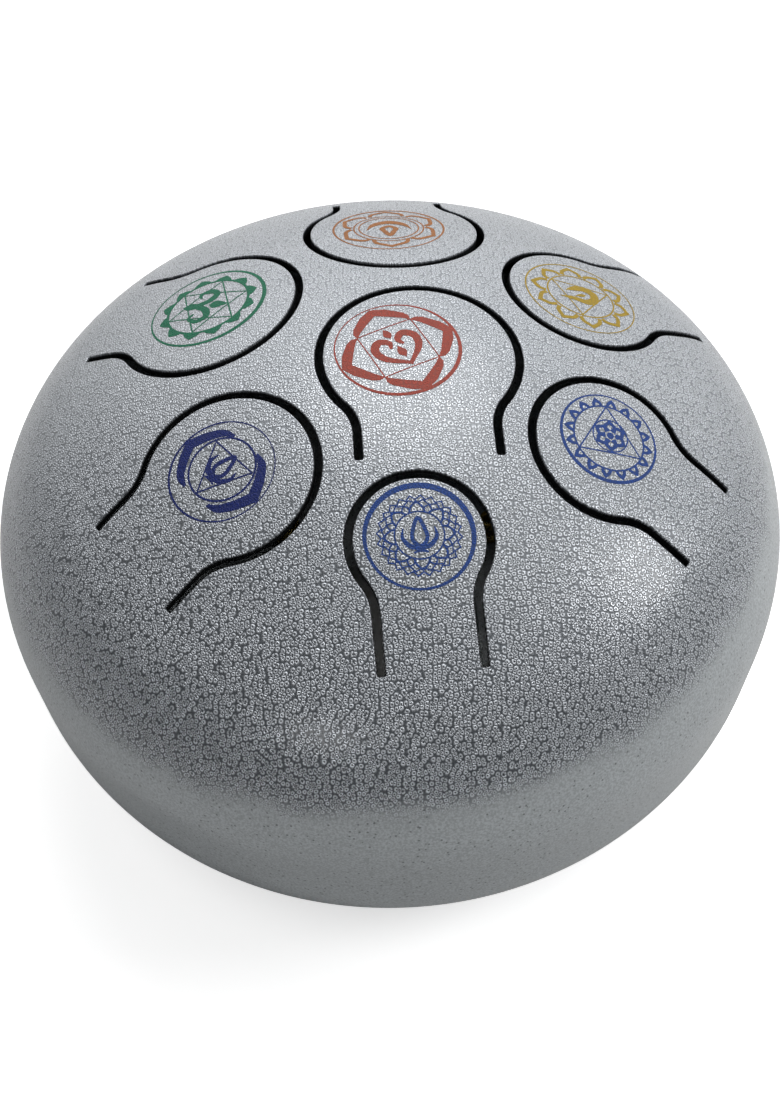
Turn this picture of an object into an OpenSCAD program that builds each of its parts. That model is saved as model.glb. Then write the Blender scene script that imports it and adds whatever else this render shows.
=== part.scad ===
// Steel tongue drum: a domed steel shell with seven tongues cut in it, welded
// to a shallow steel bowl that has a sound hole and stands on four rubber feet.
// Millimetres, +Z up, +X right and -Y front. The origin is on the drum's axis,
// on the surface that the feet stand on.

/* [Shell] */
// Largest outside radius of the drum
shell_r = 77.5; // [76:0.5:82]
// Thickness of the steel sheet
wall = 1.5; // [1.2:0.1:1.8]
// Outside radius of the domed top
crown_r = 123.6; // [115:0.2:135]
// Outside radius of the shoulder between the dome and the straight band
shoulder_r = 33.6; // [30:0.2:36]
// Height of the straight band above the weld
dome_band_h = 4.9; // [3:0.1:8]
// Height of the straight band below the weld
bowl_band_h = 6.2; // [4:0.1:10]
// Depth of the ground weld where the two halves meet
weld_depth = 0.9; // [0.5:0.1:1]

/* [Tongues] */
// Width of the slots that set the tongues free
slot_w = 1.5; // [1:0.1:2]
// Radius of the largest tongue's round head
pad_r = 17.7; // [16:0.1:18.5]
// Width of the widest tongue's neck, between the middles of its slots
neck_w = 23.8; // [21:0.1:25]
// Longest reach from the middle of a head to its tongue's root
leg_l = 24.7; // [24:0.1:25.4]
// Radius of the bend where a head runs into its neck
neck_fillet_r = 9.3; // [8:0.1:10]
// Radius of the ring that the outer heads stand on
ring_r = 40; // [39:0.1:41.5]
// Gap at a tongue's root, which lets the root bend
root_gap = 0.06; // [0.05:0.01:0.1]

/* [Sound hole] */
// Radius of the sound hole in the base
hole_r = 18; // [14:0.5:20]
// Height of the turned-in lip above the underside of the base
lip_h = 6; // [5:0.5:8]
// Outside radius of the bend into the lip
lip_bend_r = 2.5; // [2.2:0.1:3.5]

/* [Feet] */
// Height of the feet, from the floor to the underside of the base
foot_h = 6; // [5.6:0.1:9]
// Radius of a foot where it meets the base
foot_top_r = 8; // [7:0.1:9]
// Radius of a foot where it meets the floor
foot_floor_r = 7; // [6.2:0.1:7]
// Width of the bevel round the bottom of a foot
foot_bevel = 0.6; // [0.3:0.1:1]
// Width of flat base between the lip's bend and a foot
foot_to_lip = 6.1; // [3:0.1:9]
// Width of flat base between a foot and the bowl's bend
foot_to_bowl = 0.9; // [0.5:0.1:4]

/* [Fasteners] */
// Radius of the screw's shank
screw_r = 1.5; // [1.3:0.05:1.6]
// Length of the screw under its head
screw_l = 8; // [7:0.5:9]
// Radius of the screw's head
head_r = 2.8; // [2.6:0.1:3.1]
// Height of the screw's head
head_h = 1.7; // [1.5:0.1:1.8]
// Height of the screw's head above the floor
head_sink = 1.3; // [0.8:0.1:1.5]
// Width of the head's hexagon socket across its flats
socket_w = 2; // [1.8:0.1:2.4]
// Depth of the head's hexagon socket
socket_depth = 1; // [0.8:0.1:1.2]
// Outside radius of the washer
washer_r = 3.5; // [3.3:0.1:3.9]
// Thickness of the washer
washer_h = 0.5; // [0.4:0.1:0.6]
// Radius of the rivet nut's body
nut_r = 2.5; // [2.3:0.1:2.8]
// Length of the rivet nut's body above its flange
nut_l = 7.2; // [6.5:0.1:9]
// Radius of the rivet nut's flange
flange_r = 3.7; // [3.5:0.1:4.2]
// Thickness of the rivet nut's flange
flange_h = 0.8; // [0.6:0.1:1]
// How far the rivet nut's crimped collar stands out from its body
crimp_out = 0.9; // [0.6:0.1:1.1]
// Height of the rivet nut's crimped collar
crimp_h = 2; // [1.6:0.1:2.4]

/* [Clearances] */
// Clearance between the screw's shank and the rivet nut's thread
thread_clear = 0.02; // [0.01:0.01:0.05]
// Clearance round the rivet nut in the base
nut_clear = 0.05; // [0.02:0.01:0.1]
// Clearance round the shank, the washer and the flange inside a foot
foot_clear = 0.25; // [0.15:0.05:0.35]

/* [Hidden] */
$fn = 96;
// How far each cutter runs past what it cuts
over = wall;

// The flat base carries the lip and the feet, and the bowl's bend takes up the rest of the radius
lip_x = hole_r + lip_bend_r;
foot_ring_r = lip_x + foot_to_lip + foot_top_r;
bowl_x = foot_ring_r + foot_top_r + foot_to_bowl;
bowl_r = shell_r - bowl_x;

// Heights, from the floor up
base_z = foot_h;
base_in_z = base_z + wall;
bowl_z = base_z + bowl_r;
seam_z = bowl_z + bowl_band_h;
shoulder_z = seam_z + dome_band_h;
// Arcs that run into each other overlap by this much, so that they cross in one clean point
meet = root_gap / 30;

// The dome: the shoulder's arc runs into the crown's arc
shoulder_x = shell_r - shoulder_r;
crown_to_shoulder = crown_r - shoulder_r + meet;
crown_lean = asin(shoulder_x / crown_to_shoulder);
crown_z = shoulder_z - crown_to_shoulder * cos(crown_lean);

// The tongues: centre first, then round the ring from the front towards the right
tongue_places = ["centre", "front", "front_right", "back_right", "back", "back_left", "front_left"];
// Bearing of each head from the drum's axis, in degrees from the front towards the right
pad_bearings = [79, 7.2, 64.9, 118.1, 176.3, 241.5, 310.5];
// Bearing that each neck points in, in the same degrees
neck_bearings = [2.8, 4.6, 58.2, 114.3, 182.7, 248.3, 308.5];
// Distance of each head from the drum's axis, as shares of ring_r
pad_reach_shares = [0.158, 0.949, 1.056, 1.087, 1.029, 0.937, 0.895];
// Radius of each head, as shares of pad_r
pad_r_shares = [1, 0.652, 0.797, 0.867, 0.989, 1, 0.898];
// Width of each neck, as shares of neck_w
neck_w_shares = [1, 0.689, 0.79, 0.924, 0.912, 1, 0.912];
// Reach of each tongue, as shares of leg_l
leg_l_shares = [0.887, 0.862, 0.891, 1, 0.846, 0.947, 0.899];
front_turn = -90;
// A keyhole cutter reaches this far under and over the dome at its head
cut_under = shoulder_r / 2;
cut_above = over;

// The feet, from the front left round towards the right
foot_places = ["front_left", "front_right", "back_right", "back_left"];
foot_turns = [225, 315, 45, 135];
head_top_z = head_sink + head_h;
ledge_z = head_top_z + washer_h;
flange_z = base_z - flange_h;
nut_bore_r = screw_r + thread_clear;

// Quarter of a disc about the point at, anticlockwise from a direction in degrees
module quarter(at, radius, from) {
    translate(at) rotate(from) intersection() {
        circle(radius);
        square(2 * radius);
    }
}

// Everything inside the dome, as half a section, when the sheet's outside is moved in by inward
module dome_section(inward) {
    translate([0, seam_z]) square([shell_r - inward, shoulder_z - seam_z]);
    quarter([shoulder_x, shoulder_z], shoulder_r - inward, 0);
    intersection() {
        translate([0, crown_z]) circle(crown_r - inward);
        translate([0, shoulder_z]) square([(crown_r - inward) * sin(crown_lean), crown_r]);
    }
}

// The dome's sheet before the slots, with half of the weld's groove round its rim
module dome() {
    rotate_extrude() difference() {
        dome_section(0);
        dome_section(wall);
        polygon([
            [shell_r - 2 * weld_depth, seam_z - weld_depth],
            [shell_r + weld_depth, seam_z - weld_depth],
            [shell_r + weld_depth, seam_z + 2 * weld_depth]
        ]);
    }
}

// Everything inside the bowl beyond the lip's bend, as half a section
module bowl_section(inward) {
    translate([lip_x, bowl_z]) square([shell_r - inward - lip_x, seam_z - bowl_z]);
    quarter([bowl_x, bowl_z], bowl_r - inward, 270);
    translate([lip_x, base_z + inward]) square([bowl_x - lip_x, bowl_r - inward]);
}

// The lip that is turned up round the sound hole, as half a section
module lip_section() {
    difference() {
        quarter([lip_x, base_z + lip_bend_r], lip_bend_r, 180);
        translate([lip_x, base_z + lip_bend_r]) circle(lip_bend_r - wall);
    }
    translate([hole_r, base_z + lip_bend_r]) square([wall, lip_h - lip_bend_r]);
}

// Outline of a tongue about the middle of its head, with the neck along +X to root
module keyhole(i, grow, root) {
    head = pad_r * pad_r_shares[i];
    half = neck_w * neck_w_shares[i] / 2;
    aside = half + neck_fillet_r - meet;
    along = sqrt(pow(head + neck_fillet_r - meet, 2) - pow(aside, 2));
    circle(head + grow);
    difference() {
        polygon([[0, 0], [along, -aside], [along, aside]]);
        for (side = [-1, 1]) translate([along, side * aside]) circle(neck_fillet_r - grow);
    }
    translate([0, -half - grow]) square([root, 2 * (half + grow)]);
}

// Prism of a tongue's outline through the dome, square to the dome at the tongue's head
module keyhole_cutter(i, grow, root) {
    lean = asin(ring_r * pad_reach_shares[i] / crown_r);
    turn = neck_bearings[i] - pad_bearings[i];
    rotate([0, 0, pad_bearings[i] + front_turn])
        translate([0, 0, crown_z])
            rotate([0, lean, 0])
                translate([0, 0, crown_r - cut_under])
                    rotate([0, 0, atan2(sin(turn), cos(turn) * cos(lean))])
                        linear_extrude(cut_under + cut_above) keyhole(i, grow, root);
}

// Domed top half with the tongues' openings cut out
module upper_shell() {
    color("#9aa3a3") difference() {
        dome();
        for (i = [0 : len(tongue_places) - 1]) keyhole_cutter(i, slot_w / 2, leg_l * leg_l_shares[i]);
    }
}

// One tongue, which swings about its root
module tongue(i) {
    color("#a9b2b3") intersection() {
        dome();
        keyhole_cutter(i, -slot_w / 2, leg_l * leg_l_shares[i] - root_gap);
    }
}

// Weld round the widest part, ground flush with the two halves
module weld_bead() {
    color("#8f9797") rotate_extrude() polygon([
        [shell_r - weld_depth, seam_z],
        [shell_r, seam_z - weld_depth],
        [shell_r, seam_z + weld_depth]
    ]);
}

// Bowl with the sound hole, its turned-in lip, and the holes for the rivet nuts
module lower_shell() {
    color("#8d9696") difference() {
        rotate_extrude() {
            difference() {
                bowl_section(0);
                bowl_section(wall);
                polygon([
                    [shell_r - 2 * weld_depth, seam_z + weld_depth],
                    [shell_r + weld_depth, seam_z + weld_depth],
                    [shell_r + weld_depth, seam_z - 2 * weld_depth]
                ]);
            }
            lip_section();
        }
        for (i = [0 : len(foot_places) - 1])
            at_foot(i, base_z - over) cylinder(h = wall + 2 * over, r = nut_r + nut_clear);
    }
}

// Puts what it is given on a foot's axis, at a height
module at_foot(i, height) {
    rotate([0, 0, foot_turns[i]]) translate([foot_ring_r, 0, height]) children();
}

// Tapered rubber foot with a well for the screw's head and a seat for the nut's flange
module foot(i) {
    color("#1b1b1d") at_foot(i, 0) difference() {
        rotate_extrude() polygon([
            [0, 0],
            [foot_floor_r - foot_bevel, 0],
            [foot_floor_r, foot_bevel],
            [foot_top_r, base_z - foot_bevel],
            [foot_top_r, base_z],
            [0, base_z]
        ]);
        translate([0, 0, -over]) cylinder(h = ledge_z + over, r = washer_r + foot_clear);
        cylinder(h = base_z, r = screw_r + foot_clear);
        translate([0, 0, flange_z]) cylinder(h = flange_h + over, r = flange_r + foot_clear);
    }
}

// Flat steel washer between the screw's head and the rubber
module foot_washer(i) {
    color("#b9bcc0") at_foot(i, head_top_z) difference() {
        cylinder(h = washer_h, r = washer_r);
        translate([0, 0, -over]) cylinder(h = washer_h + 2 * over, r = screw_r + foot_clear);
    }
}

// Round-headed screw with a hexagon socket, head down
module foot_screw(i) {
    head_bevel = head_h / 3;
    tip_bevel = screw_r / 4;
    color("#c3c6ca") at_foot(i, head_sink) difference() {
        rotate_extrude() polygon([
            [0, 0],
            [head_r - 2 * head_bevel, 0],
            [head_r - head_bevel / 2, head_bevel],
            [head_r, 2 * head_bevel],
            [head_r, head_h],
            [screw_r, head_h],
            [screw_r, head_h + screw_l - tip_bevel],
            [screw_r - tip_bevel, head_h + screw_l],
            [0, head_h + screw_l]
        ]);
        translate([0, 0, -over]) cylinder(h = socket_depth + over, r = socket_w / sqrt(3), $fn = 6);
    }
}

// Blind rivet nut that grips the base between its flange and its crimped collar
module rivet_nut(i) {
    crimp_z = base_in_z - flange_z;
    bevel = crimp_out / 2;
    color("#c9b46a") at_foot(i, flange_z) rotate_extrude() polygon([
        [nut_bore_r, 0],
        [flange_r, 0],
        [flange_r, flange_h],
        [nut_r, flange_h],
        [nut_r, crimp_z],
        [nut_r + crimp_out - bevel, crimp_z],
        [nut_r + crimp_out, crimp_z + bevel],
        [nut_r + crimp_out, crimp_z + crimp_h - bevel],
        [nut_r, crimp_z + crimp_h],
        [nut_r, flange_h + nut_l],
        [nut_bore_r, flange_h + nut_l]
    ]);
}

upper_shell();
for (i = [0 : len(tongue_places) - 1])
    tongue(i);
weld_bead();
lower_shell();
for (i = [0 : len(foot_places) - 1]) {
    foot(i);
    foot_washer(i);
    foot_screw(i);
    rivet_nut(i);
}
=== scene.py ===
# Looks of a small steel tongue drum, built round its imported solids.
# Sizes are millimetres, and meshes are made in metres.
# A bearing is in degrees from the front, -Y, towards the right, +X.
import math

import bpy
import numpy as np
from mathutils import Matrix, Vector
from mathutils.geometry import delaunay_2d_cdt
from mathutils.kdtree import KDTree


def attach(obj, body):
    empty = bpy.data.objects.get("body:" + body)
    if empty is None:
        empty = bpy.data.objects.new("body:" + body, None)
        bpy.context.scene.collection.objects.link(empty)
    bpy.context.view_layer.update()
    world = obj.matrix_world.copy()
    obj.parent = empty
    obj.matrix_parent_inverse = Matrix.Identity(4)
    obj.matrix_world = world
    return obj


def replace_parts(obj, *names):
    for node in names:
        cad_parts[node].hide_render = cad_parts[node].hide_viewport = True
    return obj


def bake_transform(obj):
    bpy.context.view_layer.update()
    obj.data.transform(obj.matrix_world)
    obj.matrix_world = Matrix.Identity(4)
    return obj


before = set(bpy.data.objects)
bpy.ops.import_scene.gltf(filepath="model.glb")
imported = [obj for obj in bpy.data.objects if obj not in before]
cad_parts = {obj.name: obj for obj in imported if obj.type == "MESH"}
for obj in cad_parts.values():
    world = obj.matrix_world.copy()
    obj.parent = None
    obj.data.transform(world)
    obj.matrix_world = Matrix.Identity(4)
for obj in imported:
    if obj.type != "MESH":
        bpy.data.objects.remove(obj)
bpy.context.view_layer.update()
MM = 0.001

# Upper shell
SHELL_R = 77.5
WALL = 1.5
CROWN_R = 123.6
SHOULDER_R = 33.6
DOME_BAND = 4.9
WELD_DEPTH = 0.9

# Lower shell
BOWL_BAND = 6.2
BASE_R = 43.5
FOOT_H = 6.0
HOLE_R = 18.0
LIP_H = 6.0
LIP_BEND_R = 2.5
LIP_EDGE_R = 0.4
FOOT_RING_R = 34.6
NUT_HOLE_R = 2.55
FOOT_TURNS = (45, 135, 225, 315)

# Tongues
SLOT_W = 1.5
PAD_R = 17.7
NECK_W = 23.8
LEG_L = 24.7
NECK_FILLET_R = 9.3
RING_R = 40.0
# By place: bearing of the head, bearing that the neck points in, then the head's distance from
# the axis, head radius, neck width and reach as shares of the sizes above
TONGUE_SHARES = {
    "centre": (79, 2.8, 0.158, 1, 1, 0.887),
    "front": (7.2, 4.6, 0.949, 0.652, 0.689, 0.862),
    "front_right": (64.9, 58.2, 1.056, 0.797, 0.79, 0.891),
    "back_right": (118.1, 114.3, 1.087, 0.867, 0.924, 1),
    "back": (176.3, 182.7, 1.029, 0.989, 0.912, 0.846),
    "back_left": (241.5, 248.3, 0.937, 1, 1, 0.947),
    "front_left": (310.5, 308.5, 0.895, 0.898, 0.912, 0.899),
}

# Rounding of a slot's painted edge, and of the corners at its ends
EDGE_R = 0.22
CORNER_R = 0.35
# How far a tongue's paint runs past its root, and where a bend at its root would begin and end
ROOT_RUN = 1.0
BEND_FROM, BEND_TO = 0.9, -1.5

# Steps between a mesh's points, in millimetres along the sheet and in degrees round a bend
STEP = 1.6
TURN_STEP = 2.5
BEND_STEP = 3.0
LEG_STEPS = 12
# Turns in degrees at which a slot's rounded edge has its rows of points
EDGE_TURNS = (0, 30, 60, 90)
# A rivet nut's hole has a point for every so many of the rim's
HOLE_EVERY = 6
# Halvings that find a point on the curved sheet
HALVINGS = 40
RIM_STEPS = 360
# Distance between a grid's rows, and how clear of every line its points stay, as shares of a step
ROW_SHARE = 0.866
CLEAR_SHARE = 0.7
# Points nearer than this are welded into one
WELD_MM = 1e-4
# How near lines are taken to meet, in millimetres in a net, and as a share of the ring's radius in
# a print, whose points are rounded to this many decimals first
NET_NEAR, PRINT_NEAR = 1e-7, 1e-6
PRINT_DECIMALS = 5
# The least length that is divided by, and the least width share of a stroke's sharp corner
NOT_ZERO = 1e-12
MITRE_SHARE = 0.4

BASE_Z = FOOT_H
BOWL_R = SHELL_R - BASE_R
BOWL_Z = BASE_Z + BOWL_R
SEAM_Z = BOWL_Z + BOWL_BAND
SHOULDER_Z = SEAM_Z + DOME_BAND
SHOULDER_X = SHELL_R - SHOULDER_R
CROWN_LEAN = math.asin(SHOULDER_X / (CROWN_R - SHOULDER_R))
CROWN_Z = SHOULDER_Z - (CROWN_R - SHOULDER_R) * math.cos(CROWN_LEAN)
CROWN_ARC = CROWN_R * CROWN_LEAN
SHOULDER_ARC = SHOULDER_R * (math.pi / 2 - CROWN_LEAN)
DOME_ARC = CROWN_ARC + SHOULDER_ARC + DOME_BAND - WELD_DEPTH
INNER_R = SHELL_R - WALL
# The weld's section has a corner in the sheet, and one above and one below on its outside
WELD_IN = (SHELL_R - WELD_DEPTH, SEAM_Z)
WELD_UP = (SHELL_R, SEAM_Z + WELD_DEPTH)
WELD_DOWN = (SHELL_R, SEAM_Z - WELD_DEPTH)
RIM_TURNS = np.radians(np.arange(RIM_STEPS) * 360 / RIM_STEPS)

# The photograph's frame, its lens in pixels, and where that lens points
PHOTO_W, PHOTO_H = 780, 1108
FOCAL_PX = 1193.2
CENTRE_X_PX, CENTRE_Y_PX = 389.4, 519.4
SENSOR = 36.0
CAMERA_LIFT = math.radians(52.71)
CAMERA_ROLL = math.radians(-1.78)
CAMERA_AWAY = 249.0
CLIP_NEAR = 10.0


def put(name, data):
    """Adds an object of some data to the scene."""
    made = bpy.data.objects.new(name, data)
    bpy.context.scene.collection.objects.link(made)
    return made


# Camera


def make_camera():
    """The photograph's camera, whose lens doesn't point at the middle of the frame."""
    back = Vector((0, -math.cos(CAMERA_LIFT), math.sin(CAMERA_LIFT)))
    level = Vector((1, 0, 0))
    upright = back.cross(level)
    right = math.cos(CAMERA_ROLL) * level + math.sin(CAMERA_ROLL) * upright
    up = math.cos(CAMERA_ROLL) * upright - math.sin(CAMERA_ROLL) * level
    data = bpy.data.cameras.new("camera")
    data.sensor_width = SENSOR
    data.lens = SENSOR * FOCAL_PX / PHOTO_H
    data.shift_x = (PHOTO_W / 2 - CENTRE_X_PX) / PHOTO_H
    data.shift_y = (CENTRE_Y_PX - PHOTO_H / 2) / PHOTO_H
    data.clip_start = CLIP_NEAR * MM
    place = Matrix((right, up, back)).transposed().to_4x4()
    place.translation = Vector((0, 0, SEAM_Z * MM)) + back * CAMERA_AWAY * MM
    camera = put("camera", data)
    camera.matrix_world = place
    bpy.context.scene.camera = camera


make_camera()


# Materials


def linear(code):
    """A colour's sRGB hex code as linear red, green and blue, with full alpha."""
    parts = [int(code[i : i + 2], 16) / 255 for i in (1, 3, 5)]
    line = [c / 12.92 if c <= 0.04045 else ((c + 0.055) / 1.055) ** 2.4 for c in parts]
    return (*line, 1.0)


def feed(tree, made, values):
    """Gives a node's sockets their values, or links where a value is another socket."""
    for name, value in values.items():
        if isinstance(value, bpy.types.NodeSocket):
            tree.links.new(value, made.inputs[name])
        else:
            made.inputs[name].default_value = value


def node(tree, kind, values=None, **settings):
    """Adds a shader node with its settings, and with values or links for its sockets."""
    made = tree.nodes.new("ShaderNode" + kind)
    for name, value in settings.items():
        setattr(made, name, value)
    feed(tree, made, values or {})
    return made


def new_material(name):
    """A material with a Principled shader: itself, its tree, its shader and places in it in mm."""
    material = bpy.data.materials.new(name)
    material.use_nodes = True
    tree = material.node_tree
    tree.nodes.clear()
    shader = node(tree, "BsdfPrincipled")
    node(tree, "OutputMaterial", {"Surface": shader.outputs[0]})
    in_mm = scaled(tree, node(tree, "TexCoord").outputs["Object"], 1 / MM)
    return material, tree, shader, in_mm


# The span of a noise's values that gives soft clouds
CLOUDY = (0.35, 0.65)


def noise(tree, in_mm, size, detail):
    """Cloudy noise whose clouds are about a size across."""
    return node(tree, "TexNoise", {"Vector": in_mm, "Scale": 1 / size, "Detail": detail}).outputs[0]


def spread(tree, value, low, high, to_low=0.0, to_high=1.0):
    """Maps a value smoothly from one span to another, held at its ends."""
    spans = {"Value": value, "From Min": low, "From Max": high, "To Min": to_low, "To Max": to_high}
    return node(tree, "MapRange", spans, interpolation_type="SMOOTHSTEP").outputs[0]


def blended(tree, share, first, second):
    """Mixes two colours by a share from 0 to 1."""
    return node(tree, "Mix", {0: share, 6: first, 7: second}, data_type="RGBA").outputs[2]


def worked(tree, kind, first, second):
    """One sum with two numbers."""
    return node(tree, "Math", {0: first, 1: second}, operation=kind).outputs[0]


def scaled(tree, vector, by):
    return node(tree, "VectorMath", {0: vector, "Scale": by}, operation="SCALE").outputs[0]


def length_of(tree, vector):
    return node(tree, "VectorMath", {0: vector}, operation="LENGTH").outputs[1]


def parts_of(tree, vector):
    return node(tree, "SeparateXYZ", {0: vector}).outputs


def in_arc(tree, away, z, middle, radius, start, lean):
    """Arc length from the crown, and depth in the sheet, in one arc of the dome's section."""
    out = worked(tree, "SUBTRACT", away, middle[0])
    up = worked(tree, "SUBTRACT", z, middle[1])
    turned = worked(tree, "SUBTRACT", worked(tree, "ARCTAN2", out, up), lean)
    reach = length_of(tree, node(tree, "CombineXYZ", {0: out, 1: up}).outputs[0])
    arc = worked(tree, "ADD", worked(tree, "MULTIPLY", turned, radius), start)
    return arc, worked(tree, "SUBTRACT", radius, reach)


def in_sheet(tree, in_mm):
    """Place on the dome's chart, which draws its sheet out flat, and depth in that sheet."""
    x, y, z = parts_of(tree, in_mm)
    flat = node(tree, "CombineXYZ", {0: x, 1: y}).outputs[0]
    away = length_of(tree, flat)
    crown, crown_depth = in_arc(tree, away, z, (0.0, CROWN_Z), CROWN_R, 0.0, 0.0)
    shoulder_middle = (SHOULDER_X, SHOULDER_Z)
    arc, depth = in_arc(tree, away, z, shoulder_middle, SHOULDER_R, CROWN_ARC, CROWN_LEAN)
    past = worked(tree, "GREATER_THAN", crown, CROWN_ARC)
    arc = node(tree, "Mix", {0: past, 2: crown, 3: arc}).outputs[0]
    depth = node(tree, "Mix", {0: past, 2: crown_depth, 3: depth}).outputs[0]
    return scaled(tree, flat, worked(tree, "DIVIDE", arc, away)), depth


def bump(tree, height, deep_mm):
    """A relief that is as deep as given where its height runs from 0 to 1."""
    values = {"Height": height, "Distance": deep_mm * MM, "Strength": 1.0}
    return node(tree, "Bump", values).outputs[0]


# Hammertone enamel dries into rings with a pit in each. This is the spacing of the points that
# they grow round, and how uneven it is from 0 to 1
CELL_MM = 0.8
CELL_UNEVEN = 0.92
# How far a ring's pit, both sides of its crest, and its foot are from its middle, and how far from
# the border with its neighbour it is faded and whole, as shares of the spacing
PIT, CREST_FROM, CREST_TO, FOOT = 0.08, 0.27, 0.36, 0.66
BORDER_FROM, BORDER_TO = -0.06, 0.2
# Height of the ground between rings, and of the faintest crest, as shares of the highest
GROUND = 0.2
FAINTEST = 0.7
# How far the rings wander out of round, and over what length
STRAY_MM = 0.2
STRAY_SPAN_MM = 0.6
# The finer grain's size, and its height as a share of a ring's
GRAIN_MM = 0.3
GRAIN = 0.4
# Under the shoulder the coat is thin and flat. The change runs over this span of heights, which
# lies lower on the left by this for each millimetre, and wanders by this much over this length
CELLS_FROM_Z, CELLS_TO_Z = 63.5, 69.5
CELLS_LEAN = 0.045
RAGGED_MM = 6.0
RAGGED_SPAN_MM = 7.0
# Towards the back, where the light falls, the rings fade by this share, across this span from
# front to back, to this level: a painted sheen that evens out the back
BACK_SHEEN = 0.5
BACK_SHEEN_FROM_TO = (-75, 40)
BACK_SHEEN_LEVEL = 0.5
# How deep in the sheet the painted shade on a slot's walls begins, and where it is darkest
SHADE_FROM_MM, SHADE_TO_MM = 0.15, 0.6
# Clouds in the thin coat, and its specks' spacing, sizes as shares of the spacing, and darkness
THIN_CLOUD_MM = 0.4
SPECK_MM = 1.3
SPECK_FROM, SPECK_TO = 0.1, 0.2
SPECK = 0.7
# Share of clear resin on the enamel, and how deep enamel, resin and ink are embossed
RESIN = 0.5
ENAMEL_DEEP_MM = 0.14
SKIN_DEEP_MM = 0.018
INK_DEEP_MM = 0.08
# How far mottles thin the ink, and their size
INK_MOTTLE = 0.5
INK_MOTTLE_MM = 0.7


def rings(tree, place):
    """How near a place on the chart is to a ring's crest."""
    stray = {"Vector": place, "Scale": 1 / STRAY_SPAN_MM, "Detail": 1.0}
    stray = scaled(tree, node(tree, "TexNoise", stray).outputs[1], STRAY_MM)
    strayed = node(tree, "VectorMath", {0: place, 1: stray}, operation="ADD").outputs[0]
    cells = {"Vector": strayed, "Scale": 1 / CELL_MM, "Randomness": CELL_UNEVEN}
    middle, tint, *_ = node(tree, "TexVoronoi", cells, voronoi_dimensions="2D").outputs
    edges = node(tree, "TexVoronoi", cells, voronoi_dimensions="2D", feature="DISTANCE_TO_EDGE")
    ring = spread(tree, middle, PIT, CREST_FROM)
    ring = worked(tree, "MULTIPLY", ring, spread(tree, middle, CREST_TO, FOOT, 1.0, GROUND))
    ring = worked(tree, "MULTIPLY", ring, spread(tree, edges.outputs[0], BORDER_FROM, BORDER_TO))
    return worked(tree, "MULTIPLY", ring, spread(tree, tint, 0.0, 1.0, FAINTEST, 1.0))


def hammertone(tree, in_mm):
    """The enamel's height, how near a ring's crest a place is, how far rings stand out there, and
    depth in the dome's sheet."""
    x, y, z = parts_of(tree, in_mm)
    ragged = worked(tree, "SUBTRACT", noise(tree, in_mm, RAGGED_SPAN_MM, 6.0), 0.5)
    level = worked(tree, "ADD", z, worked(tree, "MULTIPLY", ragged, RAGGED_MM))
    level = worked(tree, "SUBTRACT", level, worked(tree, "MULTIPLY", x, CELLS_LEAN))
    shown = spread(tree, level, CELLS_FROM_Z, CELLS_TO_Z)
    place, depth = in_sheet(tree, in_mm)
    # Painted sheen: the rings fade towards the back, where the light falls
    back_sheen = spread(tree, y, *BACK_SHEEN_FROM_TO, 0.0, BACK_SHEEN)
    ring = node(tree, "Mix", {0: back_sheen, 2: rings(tree, place), 3: BACK_SHEEN_LEVEL}).outputs[0]
    grain = worked(tree, "MULTIPLY", noise(tree, in_mm, GRAIN_MM, 2.0), GRAIN)
    height = worked(tree, "ADD", worked(tree, "MULTIPLY", ring, shown), grain)
    return height, ring, shown, depth


def thin_coat(tree, in_mm):
    """Colour of the enamel where it is thin: lightly clouded, with dark specks."""
    clouds = spread(tree, noise(tree, in_mm, THIN_CLOUD_MM, 2.0), *CLOUDY)
    grey = blended(tree, clouds, linear("#ACB2B5"), linear("#C8CED1"))
    specks = node(tree, "TexVoronoi", {"Vector": in_mm, "Scale": 1 / SPECK_MM}).outputs[0]
    specks = spread(tree, specks, SPECK_FROM, SPECK_TO, SPECK, 0.0)
    return blended(tree, specks, grey, linear("#3A4042"))


def hammertone_paint():
    """Silver hammertone enamel: metal flake in small bright rings with dark pits and borders, so
    that highlights break up into glints, under a skin of clear resin. The crests' near white and
    the pits' and borders' dark are partly the flake's own tone and partly painted highlight and
    painted shade. Under the shoulder the coat is thin, flat and specked. The slots' walls and the
    sheet's underside above the shoulder are near black, as painted shade."""
    material, tree, shader, in_mm = new_material("hammertone_paint")
    height, ring, shown, depth = hammertone(tree, in_mm)
    # Near white on the crests and dark in the pits and borders: the flake's own tone, with painted
    # highlight on the crests and painted shade in the hollows
    flake = blended(tree, ring, linear("#42484E"), linear("#F0F5FC"))
    coat = blended(tree, shown, thin_coat(tree, in_mm), flake)
    on_dome = worked(tree, "GREATER_THAN", parts_of(tree, in_mm)[2], SHOULDER_Z)
    # Painted shade: the slots' walls and the sheet's underside above the shoulder turn near black,
    # with no resin on them
    cut = worked(tree, "MULTIPLY", spread(tree, depth, SHADE_FROM_MM, SHADE_TO_MM), on_dome)
    outside_painted_shade = worked(tree, "SUBTRACT", 1.0, cut)
    feed(tree, shader, {
        "Base Color": blended(tree, cut, coat, linear("#1E2022")),
        "Metallic": spread(tree, shown, 0.0, 1.0, 0.25, 0.4),
        "Roughness": spread(tree, ring, 0.0, 1.0, 0.45, 0.32),
        "Normal": bump(tree, height, ENAMEL_DEEP_MM),
        "Coat Weight": worked(tree, "MULTIPLY", outside_painted_shade, RESIN),
        "Coat Roughness": 0.15,
        "Coat Normal": bump(tree, height, SKIN_DEEP_MM),
    })
    return material


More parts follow.
